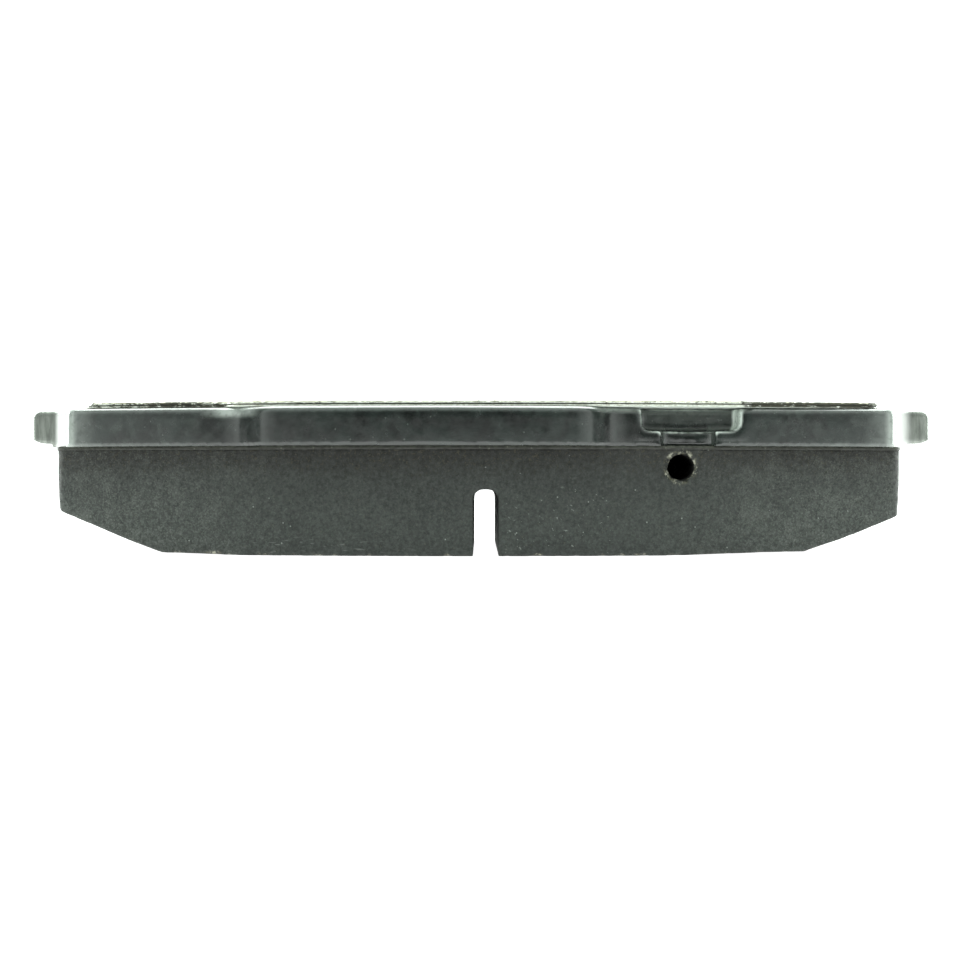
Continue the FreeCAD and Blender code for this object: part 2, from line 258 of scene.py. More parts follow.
def relaxed(points, edges, steps):
    """The points after evening each one out with its neighbours a number of times."""
    a, b = edges[:, 0], edges[:, 1]
    count = np.bincount(edges.ravel(), minlength=len(points))
    for _ in range(steps):
        moved = np.empty_like(points)
        for axis in range(3):
            value = points[:, axis]
            total = np.bincount(a, value[b], len(points)) + np.bincount(b, value[a], len(points))
            moved[:, axis] = (value + total / count) / 2
        points = moved
    return points


def lumps(points, size, seed):
    """Smooth random values from -1 to 1 at the points, in lumps of about the given size."""
    table = np.random.default_rng(seed).uniform(-1, 1, (TABLE_SIDE,) * 3)
    scaled = points / size
    cell = np.floor(scaled).astype(int)
    part = scaled - cell
    part = part * part * (3 - 2 * part)
    value = np.zeros(len(points))
    for corner in np.ndindex(2, 2, 2):
        step = np.array(corner)
        weight = np.prod(np.where(step, part, 1 - part), axis=1)
        spot = (cell + step) % TABLE_SIDE
        value += weight * table[spot[:, 0], spot[:, 1], spot[:, 2]]
    return value


def rough(points, size, seed, octaves=3):
    """Lumps with finer lumps on them."""
    value = np.zeros(len(points))
    for octave in range(octaves):
        value += lumps(points, size / 2 ** octave, seed + octave) / 2 ** octave
    return value


def ramp(value, low, high):
    """0 below low, 1 above high and smooth between."""
    t = np.clip((value - low) / (high - low), 0, 1)
    return t * t * (3 - 2 * t)


# ---------------------------------------------------------------- meshes from the frame

def new_object(name, mesh, material):
    """An object for a mesh, riding on the pad's one body."""
    obj = bpy.data.objects.new(name, mesh)
    bpy.context.scene.collection.objects.link(obj)
    mesh.materials.clear()
    mesh.materials.append(material)
    mesh.shade_smooth()
    mesh.set_sharp_from_angle(angle=radians(SHARP_ANGLE))
    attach(obj, "root")
    return obj


def evaluated(mesh, *modifiers):
    """The mesh after modifiers, each a kind and its settings."""
    obj = bpy.data.objects.new("workpiece", mesh)
    bpy.context.scene.collection.objects.link(obj)
    for kind, settings in modifiers:
        modifier = obj.modifiers.new(kind.lower(), kind)
        for key, value in settings.items():
            setattr(modifier, key, value)
    graph = bpy.context.evaluated_depsgraph_get()
    graph.update()
    result = bpy.data.meshes.new_from_object(obj.evaluated_get(graph))
    bpy.data.objects.remove(obj)
    return result


def node_mesh(*nodes):
    """One mesh of the given CAD nodes together."""
    both = bmesh.new()
    for node in nodes:
        both.from_mesh(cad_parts[node].data)
    mesh = bpy.data.meshes.new("source")
    both.to_mesh(mesh)
    both.free()
    return mesh


def remeshed(voxel, *nodes):
    """An even, dense mesh round the given CAD nodes."""
    return evaluated(node_mesh(*nodes), ("REMESH", {"mode": "VOXEL", "voxel_size": voxel}))


def thinned(mesh, kept):
    """The mesh with only as many faces as its shape needs, about the given share."""
    return evaluated(mesh, ("DECIMATE", {"ratio": kept}))


def set_points(mesh, points):
    """Move the mesh's vertices to the points."""
    mesh.vertices.foreach_set("co", points.ravel())
    mesh.update()


def set_value(mesh, name, values):
    """Store one number a vertex, for the materials to read."""
    attribute = mesh.attributes.new(name, "FLOAT", "POINT")
    attribute.data.foreach_set("value", values.astype(np.float32))


def below(mesh, z, keep_lower):
    """The part of a closed mesh on one side of a level plane, closed again along the cut."""
    work = bmesh.new()
    work.from_mesh(mesh)
    everything = work.verts[:] + work.edges[:] + work.faces[:]
    cut = bmesh.ops.bisect_plane(work, geom=everything, plane_co=(0, 0, z), plane_no=(0, 0, 1),
                                 clear_outer=keep_lower, clear_inner=not keep_lower)
    rim = [g for g in cut["geom_cut"] if isinstance(g, bmesh.types.BMEdge)]
    bmesh.ops.triangle_fill(work, use_beauty=True, edges=rim, normal=(0, 0, 1 if keep_lower else -1))
    bmesh.ops.recalc_face_normals(work, faces=work.faces)
    result = bpy.data.meshes.new("part")
    work.to_mesh(result)
    work.free()
    return result


# ---------------------------------------------------------------- outlines

def outlines(node, z):
    """The closed outlines where a level plane cuts a CAD node, largest first, each an array of x, y rows."""
    work = bmesh.new()
    work.from_mesh(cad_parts[node].data)
    bmesh.ops.remove_doubles(work, verts=work.verts, dist=WELD_DISTANCE)
    everything = work.verts[:] + work.edges[:] + work.faces[:]
    cut = bmesh.ops.bisect_plane(work, geom=everything, plane_co=(0, 0, z), plane_no=(0, 0, 1),
                                 clear_outer=True, clear_inner=True)
    rim = {g for g in cut["geom_cut"] if isinstance(g, bmesh.types.BMEdge)}
    found = []
    while rim:
        edge = rim.pop()
        first, at = edge.verts
        loop = [first.co.to_2d()]
        while at != first:
            loop.append(at.co.to_2d())
            edge = next(e for e in at.link_edges if e in rim)
            rim.discard(edge)
            at = edge.other_vert(at)
        found.append(counter_clockwise(np.array(loop)))
    work.free()
    return sorted(found, key=area, reverse=True)


def area(loop):
    """The area inside a closed outline."""
    x, y = loop[:, 0], loop[:, 1]
    return abs(np.sum(x * np.roll(y, -1) - y * np.roll(x, -1))) / 2


def counter_clockwise(loop):
    """The outline, running counter-clockwise."""
    x, y = loop[:, 0], loop[:, 1]
    turn = np.sum(x * np.roll(y, -1) - y * np.roll(x, -1))
    return loop if turn > 0 else loop[::-1]


def resampled(loop, step):
    """The closed outline again, with points evenly spaced along it."""
    closed = np.vstack([loop, loop[:1]])
    along = np.concatenate([[0], np.cumsum(np.linalg.norm(np.diff(closed, axis=0), axis=1))])
    count = max(12, int(along[-1] / step))
    spots = np.linspace(0, along[-1], count, endpoint=False)
    return np.column_stack([np.interp(spots, along, closed[:, axis]) for axis in range(2)])


def inward(loop):
    """Unit vectors that point into the outline at each of its points."""
    tangent = np.roll(loop, -2, axis=0) - np.roll(loop, 2, axis=0)
    tangent /= np.linalg.norm(tangent, axis=1)[:, None]
    return np.column_stack([-tangent[:, 1], tangent[:, 0]])


def film_mesh(name, loops, rings):
    """A thin closed solid: each loop is swept through rings, and the first and last rings are capped.

    rings(points, index) gives the rows (z, inset) for a loop, where inset is one distance a point. The
    vertices' rim value is 1 on the cut edge and 0 on the upper face.
    """
    work = bmesh.new()
    rim = work.verts.layers.float.new("rim")
    ends = ([], [])
    for index, loop in enumerate(loops):
        into = inward(loop)
        side = 1 if index == 0 else -1
        levels = []
        for z, inset in rings(loop, index):
            moved = loop + into * (side * inset)[:, None]
            heights = np.broadcast_to(z, len(moved))
            levels.append([work.verts.new((x, y, h)) for (x, y), h in zip(moved, heights)])
        for level in levels[:-1]:
            for vert in level:
                vert[rim] = 1.0
        for low, high in zip(levels, levels[1:]):
            for i in range(len(low)):
                work.faces.new((low[i - 1], low[i], high[i], high[i - 1]))
        for end, level in zip(ends, (levels[0], levels[-1])):
            end += [work.edges.get((level[i - 1], level[i])) for i in range(len(level))]
    for end, up in zip(ends, (-1, 1)):
        bmesh.ops.triangle_fill(work, use_beauty=True, edges=end, normal=(0, 0, up))
    bmesh.ops.recalc_face_normals(work, faces=work.faces)
    mesh = bpy.data.meshes.new(name)
    work.to_mesh(mesh)
    work.free()
    return mesh


# ---------------------------------------------------------------- material graphs

class Graph:
    """A material's node tree, with short calls for the nodes used here. Texture sizes are in millimetres."""

    def __init__(self, name):
        self.material = bpy.data.materials.new(name)
        self.material.use_nodes = True
        self.tree = self.material.node_tree
        self.shader = self.tree.nodes["Principled BSDF"]
        where = self.add("ShaderNodeTexCoord").outputs["Object"]
        self.place = self.stretched(where, (1 / MM, 1 / MM, 1 / MM))

    def add(self, kind, **settings):
        """A new node with these settings."""
        node = self.tree.nodes.new(kind)
        for key, value in settings.items():
            setattr(node, key, value)
        return node

    def plug(self, socket, value):
        """Feed a socket from another node's output, a colour or a number."""
        if isinstance(value, bpy.types.NodeSocket):
            self.tree.links.new(value, socket)
        elif isinstance(value, tuple) and len(value) == 3 and socket.type == "RGBA":
            socket.default_value = (*value, 1)
        else:
            socket.default_value = value

    def stretched(self, vector, factors):
        """The vector with each part multiplied by its own factor."""
        node = self.add("ShaderNodeVectorMath", operation="MULTIPLY")
        self.plug(node.inputs[0], vector)
        node.inputs[1].default_value = factors
        return node.outputs[0]

    def axis(self, letter):
        """The x, y or z of the place, in millimetres."""
        node = self.add("ShaderNodeSeparateXYZ")
        self.plug(node.inputs[0], self.place)
        return node.outputs[letter]

    def math(self, operation, a, b=0.0):
        """One sum on two numbers, or on the first alone."""
        node = self.add("ShaderNodeMath", operation=operation)
        self.plug(node.inputs[0], a)
        self.plug(node.inputs[1], b)
        return node.outputs[0]

    def turned(self, degrees):
        """The place, turned about Y."""
        node = self.add("ShaderNodeVectorRotate", rotation_type="Y_AXIS")
        self.plug(node.inputs["Vector"], self.place)
        node.inputs["Angle"].default_value = radians(degrees)
        return node.outputs["Vector"]

    def noise(self, size, detail=2.0, roughness=0.5, stretch=(1, 1, 1), warp=0.0, place=None):
        """Cloudy values from 0 to 1, in lumps of about the given size."""
        node = self.add("ShaderNodeTexNoise")
        self.plug(node.inputs["Vector"], self.stretched(place or self.place, stretch))
        node.inputs["Scale"].default_value = 1 / size
        node.inputs["Detail"].default_value = detail
        node.inputs["Roughness"].default_value = roughness
        node.inputs["Distortion"].default_value = warp
        return node.outputs["Fac"]

    def cells(self, size, output="Distance"):
        """How far the place is from the middle of its random cell, or that cell's random colour."""
        node = self.add("ShaderNodeTexVoronoi")
        self.plug(node.inputs["Vector"], self.place)
        node.inputs["Scale"].default_value = 1 / size
        return node.outputs[output]

    def times(self, *factors):
        """The product of the factors."""
        product = factors[0]
        for factor in factors[1:]:
            product = self.math("MULTIPLY", product, factor)
        return product

    def within(self, letter, low, high, fade):
        """1 where the place lies between low and high along an axis, fading to 0 outside."""
        where = self.axis(letter)
        return self.times(self.steps(where, low - fade, low), self.steps(where, high, high + fade, 1.0, 0.0))

    def steps(self, value, low, high, start=0.0, end=1.0):
        """start below low, end above high, smooth between."""
        node = self.add("ShaderNodeMapRange", interpolation_type="SMOOTHSTEP")
        self.plug(node.inputs["Value"], value)
        for key, number in (("From Min", low), ("From Max", high), ("To Min", start), ("To Max", end)):
            node.inputs[key].default_value = number
        return node.outputs["Result"]

    def blend(self, share, a, b):
        """Colour a where share is 0, b where it is 1."""
        node = self.add("ShaderNodeMix", data_type="RGBA")
        factor, first, second = (s for s in node.inputs if s.enabled)
        self.plug(factor, share)
        self.plug(first, a)
        self.plug(second, b)
        return next(s for s in node.outputs if s.enabled)

    def attribute(self, name):
        """A number stored in the mesh."""
        return self.add("ShaderNodeAttribute", attribute_name=name).outputs["Fac"]

    def bump(self, height, depth, strength):
        """Bump from a height of 0 to 1 that stands for a depth in millimetres."""
        node = self.add("ShaderNodeBump")
        node.inputs["Strength"].default_value = strength
        node.inputs["Distance"].default_value = depth * MM
        self.plug(node.inputs["Height"], height)
        self.plug(self.shader.inputs["Normal"], node.outputs["Normal"])

    def finish(self, **sockets):
        """The material, once the shader's sockets have been fed."""
        for key, value in sockets.items():
            self.plug(self.shader.inputs[key.replace("_", " ")], value)
        return self.material


def paint_material():
    """Thick glossy black paint, faintly mottled, worn pale at the notch's edges, with painted highlights on
    its edges, ends and ear roots; the ears are bare steel.
    """
    g = Graph("plate_paint")
    x = g.axis("X")
    out = g.math("ABSOLUTE", x)
    mottle = g.steps(g.noise(4.2, 5, 0.62, warp=0.8), 0.38, 0.62)
    colour = g.blend(mottle, PAINT_DARK, PAINT_LIGHT)
    dust = g.steps(g.noise(0.30, 3, 0.7), 0.52, 0.78)
    colour = g.blend(g.times(dust, 0.30), colour, PAINT_DUST)
    speck = g.steps(g.cells(1.3), 0.07, 0.04)
    colour = g.blend(g.times(speck, 0.35), colour, PAINT_SPECK)
    # pale patches, stronger towards the ends, where they are partly a painted sheen
    patchy = g.steps(g.noise(1.9, 5, 0.68, warp=0.6), 0.46, 0.64)
    colour = g.blend(g.times(patchy, g.steps(out, *PATCH_SHEEN_XS_MM, 0.1, 0.5)), colour, PAINT_PATCH_AND_SHEEN)
    # painted highlight: the front of the plate's ends is paler
    thin = g.times(g.steps(out, *END_SHEEN_XS_MM), g.steps(g.axis("Y"), *END_SHEEN_YS_MM, 1.0, 0.0))
    thin = g.times(thin, g.steps(g.noise(1.2, 3, 0.6), 0.3, 0.6, 0.6, 1.0))
    colour = g.blend(thin, colour, PAINT_END_HIGHLIGHT)
    # pale where the mesh says so: worn paint on the notch's edges, and painted highlights and painted light
    # elsewhere
    worn = g.times(g.attribute("paint_wear_and_light"), g.steps(g.noise(0.6, 3, 0.6), 0.25, 0.50, 0.55, 1.0))
    colour = g.blend(worn, colour, PAINT_WORN_AND_HIGHLIGHT)
    streak = g.steps(g.noise(0.9, 4, 0.65, stretch=(1, 1, 0.16)), 0.30, 0.70, 0.0, 1.0)
    metal = g.blend(streak, STEEL_DARK, STEEL_LIGHT)
    # painted highlight: near-white, barely metallic steel at the ears' roots, where the fillets catch light
    before_tips = g.times(g.steps(x, *ROOT_HIGHLIGHT_LEFT_XS_MM), g.steps(x, *ROOT_HIGHLIGHT_RIGHT_XS_MM, 1.0, 0.0))
    root = g.times(before_tips, g.steps(g.axis("Y"), *ROOT_HIGHLIGHT_YS_MM, 1.0, 0.0))
    metal = g.blend(g.times(root, 0.8), metal, EAR_ROOT_HIGHLIGHT)
    bare = g.times(g.steps(out, *BARE_XS_MM), g.within("Y", *BARE_Y_RANGE_MM, BARE_Y_FADE_MM))
    colour = g.blend(bare, colour, metal)
    gloss = g.steps(g.noise(1.3, 4, 0.65), 0.3, 0.7, 0.14, 0.28)
    roughness = g.math("ADD", gloss, g.times(bare, 0.20))
    metallic = g.times(bare, g.math("ADD", g.times(root, -0.8), 0.85))
    g.bump(g.noise(0.5, 3, 0.6), 0.012, 0.4)
    return g.finish(Base_Color=colour, Metallic=metallic, Roughness=roughness, Coat_Weight=0.7,
                    Coat_Roughness=0.17)


def compound_material():
    """Moulded friction compound: dark grey-green, speckled with grit and ash, browner next to the plate;
    painted light makes it paler towards its ends, and painted shade darkens it towards the plate and inside
    the sensor hole.
    """
    g = Graph("friction_compound")
    height = g.axis("Z")
    # painted light: towards the ends the compound is paler, with more grit and ash showing
    outer = g.steps(g.math("ABSOLUTE", g.axis("X")), *LIT_ENDS_XS_MM, 0.25, 1.0)

    cloud = g.steps(g.noise(7.0, 4, 0.6, warp=0.4), 0.32, 0.68)
    colour = g.blend(cloud, COMPOUND_DARK, COMPOUND_LIGHT)
    grain = g.steps(g.noise(0.24, 3, 0.8), 0.32, 0.70)
    colour = g.blend(g.times(grain, 0.50), colour, GRAIN)
    colour = g.blend(g.times(outer, 0.20), colour, LIT_ENDS_GREY)
    grit = g.steps(g.cells(0.26, "Color"), 0.30, 0.80)
    colour = g.blend(g.times(grit, g.math("ADD", g.times(outer, 0.42), 0.04)), colour, GRIT)
    shade = g.steps(g.cells(0.31, "Color"), 0.62, 0.30)
    colour = g.blend(g.times(shade, 0.40), colour, SHADE)

    uneven = g.times(g.noise(1.2, 4, 0.75), BROWN_UNEVEN_MM)
    brown = g.steps(g.math("ADD", height, uneven), *BROWN_ZS_MM)
    colour = g.blend(g.times(brown, 0.90), colour, BROWN)
    pepper = g.steps(g.noise(0.28, 2, 0.7), 0.54, 0.62)
    colour = g.blend(g.times(pepper, brown, 0.65), colour, PEPPER)
    salt = g.steps(g.noise(0.30, 2, 0.7, warp=0.5), 0.565, 0.64)
    colour = g.blend(g.times(salt, brown, 0.60), colour, SALT)

    dark = g.steps(g.cells(0.48), 0.20, 0.10)
    colour = g.blend(g.times(dark, 0.40), colour, DARK_FLECK)
    drift = g.steps(g.noise(3.2, 5, 0.75), 0.40, 0.66, -0.35, 0.30)
    ash = g.math("MAXIMUM", g.math("ADD", g.steps(g.noise(0.21, 2, 0.8), 0.48, 0.68), drift), 0.0)
    colour = g.blend(g.times(ash, outer, 0.70), colour, ASH)
    olive = g.steps(g.cells(1.0), 0.13, 0.07)
    colour = g.blend(g.times(olive, 0.35), colour, OLIVE_FLECK)
    light = g.steps(g.cells(2.1), 0.056, 0.036)
    colour = g.blend(g.times(light, 0.6), colour, LIGHT_FLECK)

    scrape = g.steps(g.noise(0.22, 2, 0.6, stretch=(0.05, 1, 1)), 0.60, 0.68)
    low_left = g.times(g.within("X", *SCRAPED_X_RANGE_MM, 4.0), g.within("Z", *SCRAPED_Z_RANGE_MM, 1.2))
    scraped = g.times(scrape, low_left)
    colour = g.blend(g.times(scraped, 0.55), colour, SCRAPE)
    nick = g.steps(g.noise(0.34, 2, 0.6, stretch=(1, 1, 0.55), place=g.turned(NICK_SLANT)), 0.675, 0.71)
    nicked = g.times(nick, g.within("X", *NICKED_X_RANGE_MM, 2.0), g.within("Z", *NICKED_Z_RANGE_MM, 1.5))
    colour = g.blend(g.times(nicked, 0.70), colour, NICK)

    # painted shade: the compound darkens towards the plate, as under its overhang
    colour = g.blend(g.steps(height, *SHADE_NEAR_PLATE_ZS_MM, 0.11, 0.56), colour, SHADE_NEAR_PLATE)
    patch = g.steps(g.noise(0.50, 3, 0.7), 0.44, 0.60)
    pale = g.blend(g.steps(g.noise(0.9, 2, 0.6), 0.48, 0.62), CHIP_OCHRE, CHIP_PALE)
    colour = g.blend(g.times(g.attribute("chip"), patch, 0.85), colour, pale)
    # painted shade inside the sensor hole
    colour = g.blend(g.attribute("inside"), colour, BORE_SHADE)
    relief = g.math("ADD", g.times(g.noise(0.24, 4, 0.75), 0.7), g.times(dark, -0.25))
    g.bump(relief, 0.07, 0.7)
    roughness = g.steps(g.noise(0.6, 3, 0.6), 0.3, 0.7, 0.55, 0.8)
    return g.finish(Base_Color=colour, Roughness=roughness)


def adhesive_material():
    """Squeezed-out hot-melt bond line, olive grey and uneven."""
    g = Graph("bond_adhesive")
    patch = g.steps(g.noise(1.1, 4, 0.7), 0.35, 0.65)
    colour = g.blend(patch, BOND_DARK, BOND_LIGHT)
    colour = g.blend(g.steps(g.axis("Z"), *BOND_UNDER_ZS_MM, 0.85, 0.0), colour, BOND_UNDER)
    light = g.steps(g.cells(0.8), 0.16, 0.09)
    colour = g.blend(g.times(light, 0.3), colour, BOND_FLECK)
    g.bump(g.noise(0.3, 3, 0.6), 0.05, 0.7)
    return g.finish(Base_Color=colour, Roughness=g.steps(g.noise(0.6), 0.3, 0.7, 0.4, 0.7))


def shim_share(g, middle, ends, left_reach):
    """How much of a layer's edge shows its stain: in the tongue, at the ends, and a little more far left."""
    x = g.axis("X")
    left = g.steps(x, -left_reach, TONGUE_LEFT_MM, ends, middle)
    right = g.steps(x, *TONGUE_RIGHT_XS_MM, 0.0, ends - middle)
    return g.math("ADD", g.math("ADD", left, right), g.steps(x, *FAR_LEFT_XS_MM, FAR_LEFT_EXTRA, 0.0))


def steel_material(name, bare_middle, bare_ends, left_reach):
    """Sheet steel whose cut edge is smeared dark, and bare in patches: the shares are those of shim_share."""
    g = Graph(name)
    streak = g.noise(0.5, 4, 0.7, stretch=(1, 1, 4))
    metal = g.blend(g.steps(streak, 0.35, 0.65), CUT_STEEL_DARK, CUT_STEEL_LIGHT)
    smear = g.blend(g.noise(0.8, 3, 0.6), SMEAR_DARK, SMEAR_LIGHT)
    patch = g.noise(0.60, 4, 0.75, stretch=(0.6, 1, 1.6))
    bare = g.steps(g.math("ADD", patch, shim_share(g, bare_middle, bare_ends, left_reach)), 0.97, 1.07)
    colour = g.blend(bare, smear, metal)
    g.bump(streak, 0.01, 0.4)
    roughness = g.steps(g.noise(0.9), 0.3, 0.7, 0.40, 0.60)
    return g.finish(Base_Color=colour, Metallic=g.times(bare, 0.5), Roughness=roughness)


def rubber_material(name, dark, light, middle_stain, end_stain, left_reach):
    """Thin bonded rubber whose cut edge is stained in patches: the shares are those of shim_share."""
    g = Graph(name)
    share = shim_share(g, middle_stain, end_stain, left_reach)
    stain = g.steps(g.math("ADD", g.noise(0.6, 4, 0.75, warp=0.4), share), 0.97, 1.07)
    stain = g.times(stain, g.steps(g.attribute("rim"), 0.60, 0.98))
    colour = g.blend(g.steps(g.noise(0.9, 4, 0.7), 0.35, 0.65), dark, light)
    colour = g.blend(stain, colour, CHALK)
    face = g.blend(g.steps(g.noise(14.0, 5, 0.6), 0.30, 0.70), RUBBER_FACE_DARK, RUBBER_FACE_LIGHT)
    face = g.blend(g.times(g.steps(g.cells(1.7), 0.07, 0.04), 0.3), face, RUBBER_FACE_SPECK)
    colour = g.blend(g.attribute("rim"), face, colour)
    g.bump(g.noise(0.22, 3, 0.7), 0.03, 0.6)
    return g.finish(Base_Color=colour, Roughness=g.steps(g.noise(3.0, 3), 0.3, 0.7, 0.54, 0.61))


# ---------------------------------------------------------------- pieces

def plate_wear_and_highlights(points, normals, proud, notch, dip, in_slot):
    """How pale the paint is at each point, from 0 to 1, the strongest of several kinds: worn paint on the
    notch's proud edges, and painted highlights and painted light on the other edges and hollows.
    """
    x, y, z = points.T
    front = 1 - ramp(abs(normals[:, 2]), 0.93, 1.0)
    patchy = 0.70 + 0.30 * rough(points, 1.3 * MM, 17).clip(-1, 1)
    # paler on the notch's proud edges: worn paint together with a painted highlight
    worn = 1.15 * patchy * ramp(proud, 0.030 * MM, 0.072 * MM) * notch * ramp(z, 15.2 * MM, 15.9 * MM)
    # painted highlight on the notch's right wall
    notch_wall_highlight = 0.80 * ramp(-normals[:, 0], 0.10, 0.50) * (x > NOTCH_WALL_X) * notch * (z > 15.8 * MM)
    # painted light lifting the shade in the notch floor's hollows, the slot's sides and the pocket
    hollow_light = 0.045 * ramp(-proud, 0.004 * MM, 0.025 * MM) * notch * ramp(z, *NOTCH_FLOOR_ZS)
    corners = 0.05 * in_slot * ramp(abs(x - SLOT_X), *SLOT_CORNER_LIGHT_REACH)
    pocket_light = 0.05 * notch * (y > POCKET_Y) * ramp(z, *POCKET_ZS)
    # painted highlight along the plate's rolled top edge
    rolled_highlight = 0.09 * ramp(z, *ROLLED_HIGHLIGHT_ZS) * front
    # painted highlight on the top edge in the two dips, where the roll shows white
    lowest = np.where(x < 0, 17.3, 18.1) * MM
    dip_highlight = 0.50 * patchy * dip * ramp(z, lowest, lowest + 0.9 * MM)
    # painted light along the plate's lower edge, as if lit from the floor, stronger at the ends
    ends = ramp(abs(x), *ENDS_XS)
    lower_edge_light = (0.02 + 0.11 * ends) * patchy * (1 - ramp(z, *LOWER_EDGE_LIGHT_ZS)) * front
    # painted highlight on the rounded front corners at the plate's ends
    corner = 0.32 * ramp(abs(x), *END_HIGHLIGHT_XS) * (1 - ramp(y, *END_HIGHLIGHT_YS))
    kinds = [worn, notch_wall_highlight, hollow_light, corners, pocket_light, rolled_highlight, dip_highlight, lower_edge_light, corner]
    return np.maximum.reduce(kinds).clip(0, 1)


def build_plate():
    """The blanked plate under thick paint: softened edges, most at the notch and the dips, and slow lumps."""
    mesh = remeshed(PLATE_VOXEL, "backing_plate")
    points, edges = points_of(mesh), edges_of(mesh)
    soft = relaxed(points, edges, EDGE_STEPS)
    softer = relaxed(soft, edges, BUILD_UP_STEPS)
    x, y, z = points.T
    at_land = y < LAND_ZONE_Y
    notch = (1 - ramp(abs(x - NOTCH_X), NOTCH_HALF_WIDTH, NOTCH_HALF_WIDTH + NOTCH_FADE)) * at_land
    dip = sum(1 - ramp(abs(x - middle), *DIP_REACH) for middle in DIP_MIDDLES)
    dip *= ramp(z, *DIP_ZS) * at_land
    ear = ramp(abs(x), *EAR_ROOT_XS)

    # the paint builds up and rounds the edges, but the bottom edge and the ears stay crisp
    upper_edge = 0.25 * ramp(z, *UPPER_EDGE_ZS)
    build_up = (0.12 + 0.26 * notch + 0.25 * dip + upper_edge * (1 - ear)).clip(0, 1)
    soft = soft + (softer - soft) * build_up[:, None]
    kept = np.maximum(0.75 * (1 - ramp(z, 14.3 * MM, (15.2 - 0.6 * notch) * MM)), 0.7 * ear)
    soft = soft + (points - soft) * kept[:, None]
    set_points(mesh, soft)

    # slow lumps all over, and rougher ones in the notch's recess and slot
    normals = normals_of(mesh)
    lump = 0.6 * lumps(soft, 3.7 * MM, 11) + 0.4 * lumps(soft, 1.5 * MM, 12)
    soft = soft + normals * (lump * PAINT_LUMP - PAINT_LUMP)[:, None]
    recess = notch * (y > RECESS_Y) * (abs(x - NOTCH_X) < NOTCH_HALF_WIDTH)
    in_slot = recess * (1 - ramp(z, *SLOT_TOP_ZS))
    uneven = in_slot * SLOT_LUMP_MM * rough(points, 1.6 * MM, 19)
    uneven = uneven + (recess - in_slot) * RECESS_LUMP_MM * rough(points, 2.4 * MM, 23)
    soft = soft + normals * (uneven * MM)[:, None]

    # the ears' tips are a little thinner
    tip = ramp(abs(x), *EAR_TIP_XS) ** 2
    soft[:, 2] = PLATE_MIDDLE_Z + (soft[:, 2] - PLATE_MIDDLE_Z) * (1 - EAR_THINNING * tip)
    set_points(mesh, soft)

    proud = np.sum((soft - relaxed(soft, edges, PROUD_STEPS)) * normals, axis=1)
    # how pale the paint is: worn on the notch's proud edges, and painted highlights and painted light on the
    # other edges and hollows
    set_value(mesh, "paint_wear_and_light", plate_wear_and_highlights(points, normals, proud, notch, dip, in_slot))
    obj = new_object("painted_plate", thinned(mesh, PLATE_KEPT), paint_material())
    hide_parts("backing_plate")


def build_compound():
    """The moulded block and its underlayer, as one worn surface cut in two at their joint."""
    mesh = remeshed(COMPOUND_VOXEL, "friction_block", "underlayer")
    points, edges = points_of(mesh), edges_of(mesh)
    x, y, z = points.T
    soft = relaxed(points, edges, BLOCK_EDGE_STEPS)
    soft = soft + (points - soft) * ramp(z, *TOP_EDGE_ZS)[:, None]

    # the edges are worn down unevenly, most where they are chipped
    worn = relaxed(soft, edges, BLOCK_WORN_STEPS)
    edge_depth = np.linalg.norm(worn - soft, axis=1)
    bite = 0.15 + 1.2 * ramp(rough(points, 1.1 * MM, 31), 0.15, 1.1)
    bite += 0.8 * ramp(lumps(points, 3.5 * MM, 37), 0.35, 0.9)
    bite *= 1 - ramp(z, *CHIPS_END_ZS)
    shaped = soft + (worn - soft) * bite[:, None]
    set_points(mesh, shaped)

    # pits all over, and a broken rim round the sensor hole
    normals = normals_of(mesh)
    pits = ramp(rough(points, 0.8 * MM, 41), 0.75, 1.4)
    from_axis = np.hypot(x - SENSOR_X, z - SENSOR_Z)
    mouth = y < SENSOR_MOUTH_Y + 0.7 * MM
    rim = mouth * (1 - ramp(from_axis, SENSOR_RADIUS + 0.25 * MM, SENSOR_RADIUS + 1.0 * MM))
    breakout = rim * ramp(rough(points, 0.9 * MM, 71), -0.35, 0.9)
    shaped = shaped - normals * (pits * PIT_DEPTH + breakout * BREAKOUT_DEPTH)[:, None]

    # the rubbing face rises a little towards its ends
    rise = RIGHT_RISE_MM * ramp(x, *RIGHT_RISE_XS) + LEFT_RISE_MM * ramp(-x, *LEFT_RISE_XS)
    shaped[:, 2] += rise * MM * (1 - ramp(z, 0, RISE_FADE_Z))
    set_points(mesh, shaped)

    chipped = ramp(edge_depth * bite, *CHIP_DEPTHS) * (1 - ramp(z, *NEAR_FACE_ZS))
    set_value(mesh, "chip", np.maximum(chipped, ramp(rim, 0.3, 0.9) * 0.8))
    # painted shade: where the inside of the sensor hole is darkened
    bore_shaded = (from_axis < SENSOR_RADIUS + 0.15 * MM) * (y < BEHIND_BORE_Y)
    set_value(mesh, "inside", bore_shaded * ramp(y, SENSOR_MOUTH_Y + 0.3 * MM, SENSOR_MOUTH_Y + 0.9 * MM))
    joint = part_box("friction_block")[1][2]
    material = compound_material()
    whole = thinned(mesh, COMPOUND_KEPT)
    block = new_object("friction_block_worn", below(whole, joint, True), material)
    layer = new_object("underlayer_moulded", below(whole, joint, False), material)
    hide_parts("friction_block")
    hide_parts("underlayer")


def node_outlines(node, step):
    """The CAD node's outlines at its middle height, with evenly spaced points."""
    low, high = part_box(node)
    return [resampled(loop, step) for loop in outlines(node, (low[2] + high[2]) / 2)]


def as_3d(loop, z):
    """The outline's points at one height."""
    return np.column_stack([loop, np.full(len(loop), z)])


